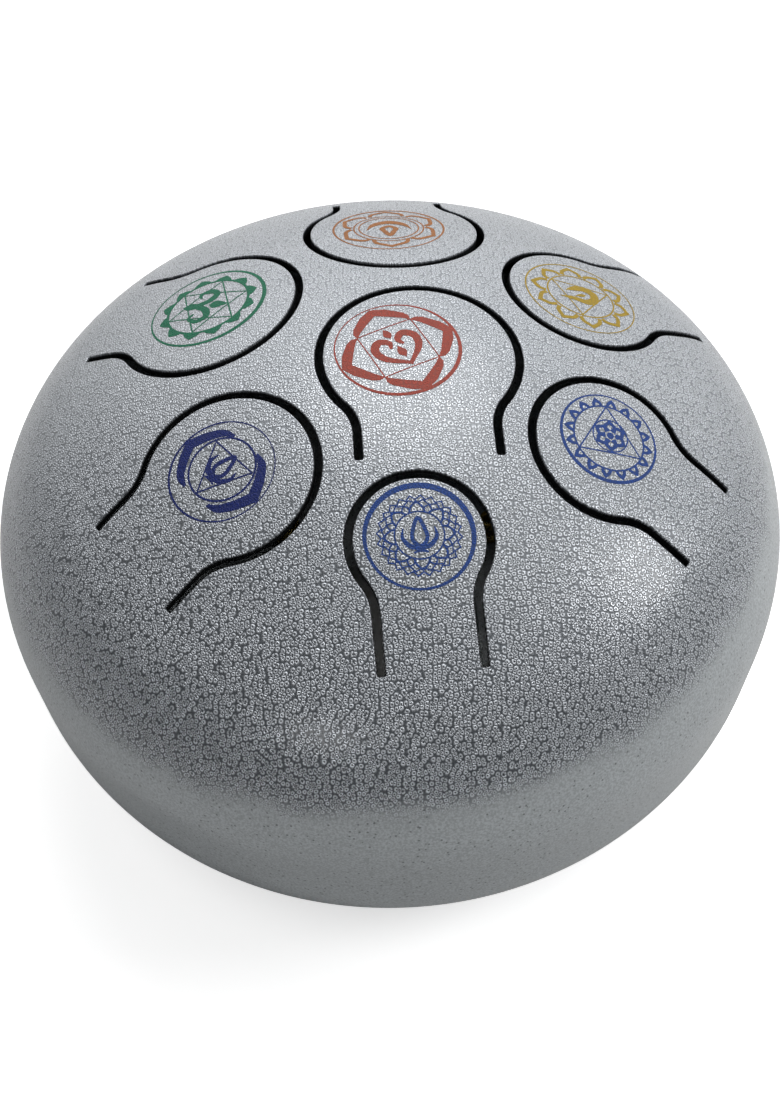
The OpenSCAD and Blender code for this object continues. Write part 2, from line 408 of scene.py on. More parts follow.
def print_ink(name, code, thin_code):
    """Ink, pad printed on the enamel: matt colour that follows the rings, and is thinner and
    duller in the dips between them."""
    material, tree, shader, in_mm = new_material(name)
    height, ring, *_ = hammertone(tree, in_mm)
    mottle = spread(tree, noise(tree, in_mm, INK_MOTTLE_MM, 3.0), *CLOUDY, 0.0, INK_MOTTLE)
    share = worked(tree, "MULTIPLY", ring, worked(tree, "SUBTRACT", 1.0, mottle))
    feed(tree, shader, {
        "Base Color": blended(tree, share, linear(thin_code), linear(code)),
        "Roughness": 0.58,
        "Specular IOR Level": 0.3,
        "Normal": bump(tree, height, INK_DEEP_MM),
    })
    return material


# Clouds, grain and the grain's depth on the feet's rubber and on their fasteners' zinc
BLOOM_MM = 3.3
MOULD_GRAIN_MM = 0.25
MOULD_DEEP_MM = 0.03
ZINC_CLOUD_MM = 1.2
TUMBLED_GRAIN_MM = 0.17
TUMBLED_DEEP_MM = 0.006


def foot_rubber():
    """Dull black rubber, with its mould's fine grain and a faint grey bloom."""
    material, tree, shader, in_mm = new_material("foot_rubber")
    bloom = spread(tree, noise(tree, in_mm, BLOOM_MM, 4.0), 0.4, 0.7)
    feed(tree, shader, {
        "Base Color": blended(tree, bloom, linear("#161617"), linear("#252527")),
        "Roughness": 0.72,
        "Normal": bump(tree, noise(tree, in_mm, MOULD_GRAIN_MM, 2.0), MOULD_DEEP_MM),
    })
    return material


def plated_steel(name, code, dull_code):
    """Zinc plated steel with faint clouds, and fine marks from being tumbled."""
    material, tree, shader, in_mm = new_material(name)
    clouds = spread(tree, noise(tree, in_mm, ZINC_CLOUD_MM, 5.0), *CLOUDY)
    feed(tree, shader, {
        "Base Color": blended(tree, clouds, linear(code), linear(dull_code)),
        "Metallic": 1.0,
        "Roughness": spread(tree, clouds, 0.0, 1.0, 0.26, 0.42),
        "Normal": bump(tree, noise(tree, in_mm, TUMBLED_GRAIN_MM, 1.0), TUMBLED_DEEP_MM),
    })
    return material


PAINT = hammertone_paint()
HARDWARE = {
    "foot_rubber": foot_rubber(),
    "zinc_steel": plated_steel("zinc_steel", "#B9BCC0", "#9DA1A6"),
    "yellow_zinc_steel": plated_steel("yellow_zinc_steel", "#C9B46A", "#B39A56"),
}
# Each ink's colour, and its colour where it is thin
INKS = {
    name: print_ink(name, code, thin_code)
    for name, code, thin_code in (
        ("red_print", "#C2503F", "#8F4A40"),
        ("orange_print", "#C47C38", "#96694A"),
        ("yellow_print", "#C9A322", "#9A863E"),
        ("green_print", "#0E8058", "#20644E"),
        ("blue_print", "#2450AA", "#2C4478"),
        ("indigo_print", "#16297C", "#1E2A5E"),
    )
}


# The dome's sheet. Its chart shows each place at its arc length from the crown, on its bearing.


def dome(chart, depth):
    """Points at a depth under places on the chart, and the outward normals there."""
    arc = np.hypot(chart[:, 0], chart[:, 1])
    out = chart / np.maximum(arc, NOT_ZERO)[:, None]
    in_crown = arc <= CROWN_ARC
    shoulder_lean = np.minimum(CROWN_LEAN + (arc - CROWN_ARC) / SHOULDER_R, math.pi / 2)
    lean = np.where(in_crown, arc / CROWN_R, shoulder_lean)
    radius = np.where(in_crown, CROWN_R, SHOULDER_R) - depth
    away = np.where(in_crown, 0, SHOULDER_X) + radius * np.sin(lean)
    below = np.maximum(arc - CROWN_ARC - SHOULDER_ARC, 0)
    height = np.where(in_crown, CROWN_Z, SHOULDER_Z) + radius * np.cos(lean) - below
    points = np.column_stack([out * away[:, None], height])
    normals = np.column_stack([out * np.sin(lean)[:, None], np.cos(lean)])
    return points, normals


def to_chart(points, depth):
    """Places on the chart over points of the sheet at a depth."""
    away = np.hypot(points[:, 0], points[:, 1])
    in_crown = away <= (CROWN_R - depth) * math.sin(CROWN_LEAN)
    crown = CROWN_R * np.arctan2(away, points[:, 2] - CROWN_Z)
    shoulder_lean = np.arctan2(away - SHOULDER_X, points[:, 2] - SHOULDER_Z)
    arc = np.where(in_crown, crown, CROWN_ARC + SHOULDER_R * (shoulder_lean - CROWN_LEAN))
    return points[:, :2] / np.maximum(away, NOT_ZERO)[:, None] * arc[:, None]


def dome_height(away, depth):
    """Height of the sheet at a depth in it and a distance from the axis."""
    crown = CROWN_Z + np.sqrt(np.maximum((CROWN_R - depth) ** 2 - away**2, 0))
    beyond = np.maximum(away - SHOULDER_X, 0)
    shoulder = SHOULDER_Z + np.sqrt(np.maximum((SHOULDER_R - depth) ** 2 - beyond**2, 0))
    return np.where(away <= (CROWN_R - depth) * math.sin(CROWN_LEAN), crown, shoulder)


def units(vectors):
    """Flat vectors, each brought to a length of 1."""
    return vectors / np.hypot(*vectors.T)[:, None]


def on_circle(centre, radius, angles):
    return np.array(centre) + radius * np.column_stack([np.cos(angles), np.sin(angles)])


def arc_angles(start, end, step):
    """Angles from start to end, with both of them, at most a step in degrees apart."""
    return np.linspace(start, end, math.ceil(abs(end - start) / math.radians(step)) + 1)


def mirrored(points):
    """The same points on the other side of the first axis, in the opposite order."""
    return points[::-1] * (1, -1)


class Tongue:
    """A tongue's outline, on the plane that touches the dome at the middle of its head, with x
    towards the root and y across."""

    def __init__(self, place, shares):
        bearing, neck_bearing, reach, head, neck, leg = shares
        self.place = place
        self.head = PAD_R * head
        self.half = NECK_W * neck / 2
        self.root = LEG_L * leg
        self.aside = self.half + NECK_FILLET_R
        self.along = math.sqrt((self.head + NECK_FILLET_R) ** 2 - self.aside**2)
        lean = math.asin(RING_R * reach / CROWN_R)
        turn = math.radians(neck_bearing - bearing)
        twist = math.atan2(math.sin(turn), math.cos(turn) * math.cos(lean))
        about = Matrix.Rotation(math.radians(bearing - 90), 3, "Z") @ Matrix.Rotation(lean, 3, "Y")
        self.axes = np.array(about @ Matrix.Rotation(twist, 3, "Z"))
        self.middle = np.array(about @ Vector((0, 0, CROWN_R))) + (0, 0, CROWN_Z)

    def on_chart(self, flat, depth=0):
        """Places on the chart straight under points of the outline, at a depth in the sheet."""
        above = np.full(len(flat), WALL)
        below = np.full(len(flat), -SHOULDER_R / 2)
        base = self.middle + flat @ self.axes[:, :2].T
        for _ in range(HALVINGS):
            half = (above + below) / 2
            points = base + half[:, None] * self.axes[:, 2]
            outside = points[:, 2] > dome_height(np.hypot(points[:, 0], points[:, 1]), depth)
            above = np.where(outside, half, above)
            below = np.where(outside, below, half)
        return to_chart(base + below[:, None] * self.axes[:, 2], depth)

    def edge(self, grow):
        """The outline moved out by grow, from one leg's end round the head to the other's."""
        leg_x = np.linspace(self.root - CORNER_R, self.along, LEG_STEPS, endpoint=False)
        leg = np.column_stack([leg_x, np.full(len(leg_x), self.half + grow)])
        tangent = math.atan2(self.aside, self.along)
        bend_angles = arc_angles(-math.pi / 2, tangent - math.pi, TURN_STEP)[:-1]
        bend = on_circle((self.along, self.aside), NECK_FILLET_R - grow, bend_angles)
        head = on_circle((0, 0), self.head + grow, arc_angles(tangent, math.pi, TURN_STEP))
        side = np.concatenate([leg, bend, head])
        return np.concatenate([side, mirrored(side)[1:]])

    def slot(self, grow):
        """The slot's outline moved out by grow: outer edge, end, inner edge, end, and the numbers
        of the first and last points that the tongue takes, in the middles of the ends."""
        wide = SLOT_W / 2
        x = self.root - CORNER_R
        outer_y = -self.half - wide + CORNER_R
        inner_y = -self.half + wide - CORNER_R
        end = np.concatenate([
            on_circle((x, outer_y), CORNER_R + grow, np.radians([-60, -30, 0])),
            on_circle((x, inner_y), CORNER_R + grow, np.radians([0, 30, 60])),
        ])
        outer, inner = self.edge(wide + grow), self.edge(-wide - grow)[::-1]
        first = len(outer) + 3
        last = first + len(inner) + 5
        return np.concatenate([outer, end, inner, mirrored(end)]), first, last

    def patch(self):
        """Where the tongue's paint ends on the shell, past its root."""
        y = self.half - SLOT_W / 2 + CORNER_R
        across = np.linspace(y, -y, round(2 * y / STEP) + 1)
        return np.column_stack([np.full(len(across), self.root + ROOT_RUN), across])

    def at(self, x, y=0.0):
        """A point of the outline's plane, in the drum's frame."""
        return self.middle + self.axes[:, 0] * x + self.axes[:, 1] * y


TONGUES = [Tongue(place, shares) for place, shares in TONGUE_SHARES.items()]


# Meshes


class Skin:
    """Patches of points with their outward normals, which become one mesh."""

    def __init__(self):
        self.points, self.normals, self.faces, self.count = [], [], [], 0

    def add(self, points, normals, faces):
        faces = np.array(faces)
        corners = points[faces]
        crossed = np.cross(corners[:, 1] - corners[:, 0], corners[:, -1] - corners[:, 0])
        backward = np.einsum("ij,ij->i", crossed, normals[faces].mean(axis=1)) < 0
        faces[backward] = faces[backward][:, ::-1]
        self.faces += (faces + self.count).tolist()
        self.points.append(points)
        self.normals.append(normals)
        self.count += len(points)

    def strip(self, rows, normals, closed=False):
        """Rows of points, all as long, joined by bands of faces."""
        rows, normals = np.array(rows), np.array(normals)
        height, width = rows.shape[:2]
        here = np.arange(width if closed else width - 1)
        there = (here + 1) % width
        band = np.column_stack([here, there, there + width, here + width])
        faces = np.concatenate([band + i * width for i in range(height - 1)])
        self.add(rows.reshape(-1, 3), normals.reshape(-1, 3), faces)

    def lathe(self, profile, normals):
        """A profile of distances from the axis and heights, turned all the way round."""
        ring = np.column_stack([np.cos(RIM_TURNS), np.sin(RIM_TURNS), np.ones(RIM_STEPS)])
        rows = [ring * (r, r, z) for r, z in profile]
        self.strip(rows, [ring * (r, r, z) for r, z in normals], closed=True)

    def path(self, *corners):
        """Straight runs of a turned profile, whose outside is on the right of its way."""
        for start, end in zip(corners, corners[1:]):
            run = np.array(end) - start
            normal = np.array((run[1], -run[0])) / np.hypot(*run)
            self.lathe([start, end], [normal, normal])

    def bend(self, centre, radius, start, end, hollow=False):
        """A bend of a turned profile, whose outside is away from its centre unless hollow."""
        angles = arc_angles(math.radians(start), math.radians(end), BEND_STEP)
        outs = on_circle((0, 0), -1 if hollow else 1, angles)
        self.lathe(on_circle(centre, radius, angles), outs)

    def piece(self, name, material, slot):
        """The mesh as an object, with shared points welded and its own normals."""
        points, normals = np.concatenate(self.points), np.concatenate(self.normals)
        keys = np.round(points / WELD_MM).astype(np.int64)
        _, first, shared = np.unique(keys, axis=0, return_index=True, return_inverse=True)
        shared = shared.reshape(-1)
        whole = [face for face in self.faces if len(set(shared[face])) == len(face)]
        mesh = bpy.data.meshes.new(name)
        faces = [shared[face].tolist() for face in whole]
        mesh.from_pydata((points[first] * MM).tolist(), [], faces)
        mesh.shade_smooth()
        mesh.normals_split_custom_set(normals[np.concatenate(whole)].tolist())
        mesh.materials.append(material)
        return put(name, mesh)


class Net:
    """Flat points with lines between them, filled up with a grid and cut into triangles."""

    def __init__(self):
        self.points, self.edges = [], []

    def line(self, points, closed=False):
        """Adds a line of points and returns their numbers."""
        numbers = list(range(len(self.points), len(self.points) + len(points)))
        self.points += [tuple(point) for point in points]
        self.link(numbers + numbers[:1] if closed else numbers)
        return numbers

    def link(self, numbers):
        self.edges += list(zip(numbers[:-1], numbers[1:]))

    def fill(self, step, wanted):
        """Adds the points of a grid where they are wanted and clear of every line."""
        low, high = np.min(self.points, axis=0), np.max(self.points, axis=0)
        rows = np.arange(low[1], high[1], step * ROW_SHARE)
        x, y = np.meshgrid(np.arange(low[0], high[0], step), rows)
        x = x + (np.arange(len(x)) % 2)[:, None] * step / 2
        grid = np.column_stack([x.ravel(), y.ravel()])
        tree = KDTree(len(self.points))
        for i, point in enumerate(self.points):
            tree.insert((*point, 0), i)
        tree.balance()
        grid = grid[wanted(grid)]
        clear = [tree.find((*point, 0))[2] > CLEAR_SHARE * step for point in grid]
        self.points += [tuple(point) for point in grid[clear]]

    def triangles(self):
        """The points, and the triangles between them."""
        vectors = [Vector(point) for point in self.points]
        cut = delaunay_2d_cdt(vectors, self.edges, [], 0, NET_NEAR, True)
        origin = [numbers[0] for numbers in cut[3]]
        return np.array(self.points), np.array([[origin[i] for i in face] for face in cut[2]])


def inside(outline, points):
    """Whether each point lies within a closed outline."""
    crossed = np.zeros(len(points), bool)
    for (x0, y0), (x1, y1) in zip(outline, np.roll(outline, -1, axis=0)):
        if y0 != y1:
            spans = (points[:, 1] < y0) != (points[:, 1] < y1)
            crossed ^= spans & (points[:, 0] < x0 + (points[:, 1] - y0) / (y1 - y0) * (x1 - x0))
    return crossed


def slot_sides(tongue):
    """Rows of points and normals down a slot's sides, and then under the sheet beside it."""
    flat = tongue.slot(0)[0]
    away = tongue.slot(EDGE_R)[0] - flat
    into = -units(away) @ tongue.axes[:, :2].T
    rows, normals = [], []
    for turn in np.radians(EDGE_TURNS):
        grown = tongue.slot(EDGE_R * (1 - math.sin(turn)))[0]
        points, outs = dome(tongue.on_chart(grown), EDGE_R * (1 - math.cos(turn)))
        rows.append(points)
        normals.append(math.cos(turn) * outs + math.sin(turn) * into)
    foot, outs = dome(tongue.on_chart(flat, WALL), WALL)
    under = dome(tongue.on_chart(tongue.slot(EDGE_R)[0], WALL), WALL)[0]
    side, side_normals = np.array(rows + [foot]), np.array(normals + [into])
    return side, side_normals, np.array([foot, under]), np.array([-outs, -outs])


def dome_net():
    """The dome's chart with every slot and root in it, and those lines' numbers by tongue."""
    net = Net()
    lines = []
    for tongue in TONGUES:
        flat, first, last = tongue.slot(EDGE_R)
        loop = net.line(tongue.on_chart(flat), closed=True)
        patch = net.line(tongue.on_chart(tongue.patch()))
        net.link([loop[last], patch[0]])
        net.link([patch[-1], loop[first]])
        lines.append((loop, first, last, patch))
    net.line(on_circle((0, 0), DOME_ARC, RIM_TURNS), closed=True)
    net.fill(STEP, lambda grid: np.hypot(grid[:, 0], grid[:, 1]) < DOME_ARC - STEP / 2)
    return net, lines


def add_sheet(skin, chart, under_chart, triangles):
    """Adds both faces of the dome's sheet over some of its triangles."""
    used, faces = np.unique(triangles, return_inverse=True)
    faces = faces.reshape(-1, 3)
    points, normals = dome(chart[used], 0)
    skin.add(points, normals, faces)
    points, normals = dome(under_chart[used], WALL)
    skin.add(points, -normals, faces)


def finish_tongue(tongue, skin):
    """Makes a tongue's piece, in place of its solid."""
    piece = skin.piece("painted_tongue_" + tongue.place, PAINT, "hammertone_paint")
    start, end = tongue.at(tongue.root + BEND_FROM), tongue.at(tongue.root + BEND_TO)
    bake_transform(piece)
    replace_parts(piece, "tongue_" + tongue.place)


def finish_shell(skin):
    """Adds the dome's lower edge, with its bevel for the weld, and makes the shell's piece."""
    skin.path((INNER_R, SEAM_Z + WELD_DEPTH), (INNER_R, SEAM_Z), WELD_IN, WELD_UP)
    piece = skin.piece("painted_upper_shell", PAINT, "hammertone_paint")
    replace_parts(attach(piece, "shell"), "upper_shell")


def make_dome():
    """Draws the dome's sheet once and shares it out between the shell and the tongues."""
    net, lines = dome_net()
    chart, triangles = net.triangles()
    centres = chart[triangles].mean(axis=1)
    under_chart = chart.copy()
    on_shell = np.ones(len(triangles), bool)
    shell = Skin()
    for tongue, (loop, first, last, patch) in zip(TONGUES, lines):
        under_chart[loop] = tongue.on_chart(tongue.slot(EDGE_R)[0], WALL)
        under_chart[patch] = tongue.on_chart(tongue.patch(), WALL)
        in_slot = inside(chart[loop], centres)
        in_tongue = inside(chart[loop[first : last + 1] + patch], centres) & ~in_slot
        on_shell &= ~in_slot & ~in_tongue
        skin = Skin()
        add_sheet(skin, chart, under_chart, triangles[in_tongue])
        side, side_normals, under, under_normals = slot_sides(tongue)
        taken = np.arange(first, last + 1)
        left = np.arange(last, first + len(loop) + 1) % len(loop)
        for own, part in ((skin, taken), (shell, left)):
            own.strip(side[:, part], side_normals[:, part])
            own.strip(under[:, part], under_normals[:, part])
        finish_tongue(tongue, skin)
    add_sheet(shell, chart, under_chart, triangles[on_shell])
    finish_shell(shell)


def make_weld():
    """The bead that fills both shells' bevels, ground flush."""
    skin = Skin()
    skin.path(WELD_DOWN, WELD_UP, WELD_IN, WELD_DOWN)
    piece = skin.piece("painted_weld", PAINT, "hammertone_paint")
    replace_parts(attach(piece, "shell"), "weld_bead")


def add_base(skin, inner_r):
    """Adds the flat base's two faces, from the lip's bend out, with the holes for the nuts."""
    net = Net()
    net.line(on_circle((0, 0), inner_r, RIM_TURNS), closed=True)
    net.line(on_circle((0, 0), BASE_R, RIM_TURNS), closed=True)
    holes = []
    for foot in np.radians(FOOT_TURNS):
        middle = on_circle((0, 0), FOOT_RING_R, [foot])[0]
        hole = net.line(on_circle(middle, NUT_HOLE_R, RIM_TURNS[::HOLE_EVERY]), closed=True)
        holes.append((middle, hole))
    net.fill(2 * STEP, lambda grid: (np.hypot(*grid.T) > inner_r) & (np.hypot(*grid.T) < BASE_R))
    flat, triangles = net.triangles()
    centres = flat[triangles].mean(axis=1)
    kept = np.hypot(*centres.T) > inner_r
    for middle, _ in holes:
        kept &= np.hypot(*(centres - middle).T) > NUT_HOLE_R
    for z, out in ((BASE_Z, -1), (BASE_Z + WALL, 1)):
        points = np.column_stack([flat, np.full(len(flat), z)])
        skin.add(points, np.tile((0.0, 0.0, out), (len(flat), 1)), triangles[kept])
    for middle, numbers in holes:
        ring = np.array(flat[numbers])
        inward = np.column_stack([(middle - ring) / NUT_HOLE_R, np.zeros(len(ring))])
        rows = [np.column_stack([ring, np.full(len(ring), z)]) for z in (BASE_Z, BASE_Z + WALL)]
        skin.strip(rows, [inward, inward], closed=True)


def make_bowl():
    """The lower shell: its upper edge, then down to the lip, over it, and back up inside."""
    skin = Skin()
    skin.path((SHELL_R, BOWL_Z), WELD_DOWN, WELD_IN, (INNER_R, SEAM_Z), (INNER_R, BOWL_Z))
    bend_x = HOLE_R + LIP_BEND_R
    lip_z = BASE_Z + LIP_BEND_R
    top_z = BASE_Z + LIP_H
    skin.bend((BASE_R, BOWL_Z), BOWL_R, 0, -90)
    skin.bend((bend_x, lip_z), LIP_BEND_R, 270, 180)
    skin.path((HOLE_R, top_z - LIP_EDGE_R), (HOLE_R, lip_z))
    skin.bend((HOLE_R + LIP_EDGE_R, top_z - LIP_EDGE_R), LIP_EDGE_R, 180, 90)
    skin.path((HOLE_R + WALL - LIP_EDGE_R, top_z), (HOLE_R + LIP_EDGE_R, top_z))
    skin.bend((HOLE_R + WALL - LIP_EDGE_R, top_z - LIP_EDGE_R), LIP_EDGE_R, 90, 0)
    skin.path((HOLE_R + WALL, lip_z), (HOLE_R + WALL, top_z - LIP_EDGE_R))
    skin.bend((bend_x, lip_z), LIP_BEND_R - WALL, 180, 270, hollow=True)
    add_base(skin, bend_x)
    skin.bend((BASE_R, BOWL_Z), BOWL_R - WALL, -90, 0, hollow=True)
    piece = skin.piece("painted_lower_shell", PAINT, "hammertone_paint")
    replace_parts(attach(piece, "shell"), "lower_shell")


# Slots of the solids that show as packed, by how their names start
HARDWARE_SLOTS = {
    "foot_washer": "zinc_steel",
    "foot_screw": "zinc_steel",
    "foot": "foot_rubber",
    "rivet_nut": "yellow_zinc_steel",
}


def paint_hardware():
    """Gives the feet and their fasteners their finishes."""
    slots = HARDWARE_SLOTS.items()
    for name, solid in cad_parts.items():
        kind = next((slot for start, slot in slots if name.startswith(start)), None)
        if kind:
            solid.data.materials.clear()
            solid.data.materials.append(HARDWARE[kind])


# Prints. Each is drawn as triangles with an outer ring of radius 1, with x to the right and y up,
# towards its tongue's tip.

INK_MM = 0.03
RING_SIDES = 120
# Points between the given ones of a smooth line, and along each side of a straight figure
SMOOTH_STEPS = 8
SIDE_STEPS = 10


def polar(radius, degrees):
    return radius * math.cos(math.radians(degrees)), radius * math.sin(math.radians(degrees))


def turned(points, degrees):
    """Points turned about the middle, anticlockwise."""
    cos, sin = polar(1, degrees)
    return np.array(points) @ np.array([[cos, sin], [-sin, cos]])


def turned_round(shapes, count, first=90):
    """Shapes that point up, repeated all round the middle from the top or another angle on."""
    return [turned(shape, first - 90 + 360 * i / count) for i in range(count) for shape in shapes]


def moved(shapes, x, y, size=1.0, degrees=0.0):
    """Shapes turned and scaled about the middle, and then moved."""
    return [turned(shape, degrees) * size + (x, y) for shape in shapes]


def flipped(points):
    """The same line on the other side of the upright, in the opposite order."""
    return (np.array(points) * (-1, 1))[::-1]


def both_sides(half):
    """A line that runs up to the upright, and then down the other side."""
    return np.concatenate([half, flipped(half)[1:]])


def with_flipped(shapes):
    """Shapes, and the same shapes on the other side of the upright."""
    return shapes + [flipped(shape) for shape in shapes]


def smooth(points, closed=False):
    """A smooth line through points."""
    points = np.array(points, float)
    if closed:
        padded = np.concatenate([points[-1:], points, points[:2]])
    else:
        before, after = 2 * points[:1] - points[1:2], 2 * points[-1:] - points[-2:-1]
        padded = np.concatenate([before, points, after])
    line, steps = [], np.arange(SMOOTH_STEPS) / SMOOTH_STEPS
    for a, b, c, d in zip(padded, padded[1:], padded[2:], padded[3:]):
        slope = (c - a) / 2
        bow = a - 2.5 * b + 2 * c - d / 2
        sway = 1.5 * (b - c) + (d - a) / 2
        line += [b + t * slope + t**2 * bow + t**3 * sway for t in steps]
    return np.array(line if closed else line + [points[-1]])


def circle(radius, x=0.0, y=0.0):
    return on_circle((x, y), radius, np.arange(RING_SIDES) * math.tau / RING_SIDES)


def band(left, right, closed=False):
    """Triangles between two lines with as many points."""
    steps = len(left) if closed else len(left) - 1
    shapes = []
    for i in range(steps):
        j = (i + 1) % len(left)
        shapes += [np.array([left[i], left[j], right[j]]), np.array([left[i], right[j], right[i]])]
    return shapes


def filled(half):
    """Triangles that fill an even-sided shape, from its left side."""
    half = np.array(half)
    return band(half, half * (-1, 1))


def sides(*corners):
    """A closed line through corners, with points all along it to follow the dome."""
    corners = np.array(corners)
    along = np.linspace(0, 1, SIDE_STEPS, endpoint=False)[:, None]
    ends = np.roll(corners, -1, axis=0)
    return np.concatenate([a + along * (b - a) for a, b in zip(corners, ends)])


def stroke(points, width, closed=False):
    """A line with a width, which is one number or one for each of its points."""
    points = np.array(points, float)
    before, after = np.roll(points, 1, axis=0), np.roll(points, -1, axis=0)
    if not closed:
        before[0] = 2 * points[0] - points[1]
        after[-1] = 2 * points[-1] - points[-2]
    first, second = units(points - before), units(after - points)
    along = units(first + second)
    across = along @ np.array([[0, 1], [-1, 0]])
    mitre = np.maximum(np.einsum("ij,ij->i", along, first), MITRE_SHARE)
    offset = across * (np.ones(len(points)) * width / 2 / mitre)[:, None]
    return band(points + offset, points - offset, closed)


def border(points, bold):
    """A closed line of an even width."""
    return stroke(points, bold, closed=True)


def brush(points, widths):
    """A smooth line whose width runs evenly through some widths."""
    line = smooth(points)
    places = np.linspace(0, 1, len(line))
    return stroke(line, np.interp(places, np.linspace(0, 1, len(widths)), widths))


def eccentric_ring(thin, thick, thick_way):
    """The outer ring, thickest at one bearing and thinnest across from it."""
    middle = polar((thick - thin) / 2, thick_way + 180)
    return band(circle(1), circle(1 - (thin + thick) / 2, *middle), closed=True)


def petal(foot_r, half_width, tip_r, fullness):
    """The left side of a pointed petal that stands on a circle, up to its tip."""
    foot = math.sqrt(foot_r**2 - half_width**2)
    middle = (-half_width * fullness, foot + (tip_r - foot) / 2)
    return smooth([(-half_width, foot), middle, (0, tip_r)])


def arch(foot_r, half_width, tip_r, fullness, bold):
    """A pointed petal that is drawn as a line."""
    return stroke(both_sides(petal(foot_r, half_width, tip_r, fullness)), bold)


def scroll_heart(bold):
    """Two scrolls that meet in a point, round a small leaf, under a bud."""
    scroll = [(0.1, 0.01), (0.07, 0.12), (0.19, 0.2), (0.31, 0.08), (0.25, -0.13), (-0.02, -0.36)]
    scrolls = with_flipped(brush(scroll, [bold * 0.4, bold, bold * 1.2, bold * 1.1, bold * 0.5]))
    leaf = filled(smooth([(0, -0.22), (-0.065, -0.11), (0, 0.02)]))
    bud = filled(smooth([(0, 0.18), (-0.06, 0.27), (0, 0.39)]))
    return scrolls + leaf + bud


def lotus(bold):
    """A lotus bud between two open petals, on a short stem."""
    bud = [(0, -0.2), (-0.12, -0.1), (-0.12, 0.06), (0, 0.32), (0.12, 0.06), (0.12, -0.1)]
    leaf = [(-0.02, -0.24), (0.17, -0.2), (0.3, -0.04), (0.28, 0.14)]
    leaves = with_flipped(brush(leaf, [bold, bold * 1.3, bold, bold * 0.3]))
    foot = brush([(-0.13, -0.32), (0, -0.28), (0.13, -0.32)], [bold * 0.4, bold, bold * 0.4])
    return border(smooth(bud, closed=True), bold) + leaves + foot


def rosette(bold, count):
    """An open flower with a round heart."""
    leaf = stroke(both_sides(smooth([(-0.03, 0.1), (-0.1, 0.2), (0, 0.31)])), bold)
    heart = filled(on_circle((0, 0), bold, np.radians(range(90, 271, 15))))
    return turned_round(leaf, count) + heart


def flame(bold):
    """A flame with two tongues, and a drop in it."""
    long_tip, short_tip = (0.05, 0.4), (0.17, 0.2)
    outer = [(-0.1, 0.19), (-0.24, 0), (-0.21, -0.2), (0, -0.32), (0.21, -0.2), (0.25, 0)]
    inner = [(0, 0.17), (-0.1, 0), (-0.09, -0.11), (0, -0.17), (0.09, -0.11), (0.13, 0.02)]
    outer, inner = (smooth([long_tip, *line, short_tip]) for line in (outer, inner))
    drop = smooth([(0, -0.1), (-bold / 3, -0.02), (0, 0.12)])
    return band(outer, inner) + filled(drop)


def crescent_and_bud(bold):
    """A bud that stands in an upturned crescent."""
    low = smooth([(-0.34, 0.12), (-0.25, -0.15), (0, -0.28), (0.25, -0.15), (0.34, 0.12)])
    high = smooth([(-0.34, 0.12), (-0.2, -0.06), (0, -0.14), (0.2, -0.06), (0.34, 0.12)])
    bud = [(0, -0.03), (-0.1, 0.06), (-0.07, 0.17), (0, 0.32), (0.07, 0.17), (0.1, 0.06)]
    return band(high, low) + border(smooth(bud, closed=True), bold)


def curls(bold):
    """Two curls on a stem, with a drop over them."""
    curl = [(-0.01, -0.2), (0.1, 0.0), (0.25, 0.06), (0.34, -0.06), (0.27, -0.19), (0.17, -0.15)]
    pair = with_flipped(brush(curl, [bold, bold * 1.2, bold, bold * 0.7, bold * 0.4]))
    stem = filled(smooth([(0, -0.38), (-0.07, -0.28), (-0.05, -0.15), (0, -0.05)]))
    drop = filled(smooth([(0, 0.02), (-0.08, 0.12), (0, 0.33)]))
    return pair + stem + drop


def centre_print():
    """Four bold petals round a square, with scrolls."""
    outer = [(-0.474, 0.474), (-0.49, 0.57), (-0.436, 0.676), (-0.22, 0.87), (0, 0.97)]
    inner = [(-0.45, 0.48), (-0.41, 0.52), (-0.35, 0.57), (-0.19, 0.68), (0, 0.8)]
    leaf = with_flipped(band(outer, inner))
    square = border(sides(*[polar(0.67, 68.6 + 90 * i) for i in range(4)]), 0.02)
    shapes = eccentric_ring(0.018, 0.064, -45) + turned_round(leaf, 4, 23.6) + square
    return shapes + moved(scroll_heart(0.1), 0, 0, 1.15, 28)


def front_print():
    """Eight petals and two tiers of points round a lotus."""
    shapes = band(circle(1), circle(0.92, -0.01, -0.034), closed=True)
    shapes += border(circle(0.44), 0.03)
    shapes += turned_round(arch(0.45, 0.14, 0.64, 0.72, 0.04), 8)
    shapes += turned_round(arch(0.49, 0.07, 0.6, 0.8, 0.03), 8, 112.5)
    for count, low, high in ((16, 0.6, 0.67), (24, 0.675, 0.75)):
        peaks = [polar(high if i % 2 else low, 90 + 180 * i / count) for i in range(2 * count)]
        shapes += border(peaks, 0.025)
    return shapes + lotus(0.07)


def front_right_print():
    """Sixteen petals with light hearts round a triangle on its point, with a flower."""
    leaf = with_flipped(band(petal(0.735, 0.115, 0.925, 0.75), petal(0.735, 0.045, 0.82, 0.75)))
    shapes = eccentric_ring(0.03, 0.075, 190) + border(circle(0.72), 0.038)
    shapes += turned_round(leaf, 16)
    shapes += border(sides((-0.61, 0.37), (0.61, 0.37), (0.03, -0.72)), 0.03)
    return shapes + border(circle(0.356, 0.05), 0.026) + moved(rosette(0.075, 6), 0.05, 0)


def back_right_print():
    """Ten bold petals round a flame."""
    shapes = eccentric_ring(0.02, 0.03, 0) + turned_round(arch(0.64, 0.17, 0.86, 0.85, 0.075), 10)
    shapes += border(circle(0.6), 0.03)
    shapes += border(sides(polar(0.58, 150), polar(0.58, 30), polar(0.58, 270)), 0.024)
    return shapes + moved(flame(0.12), 0, 0, 1.1)


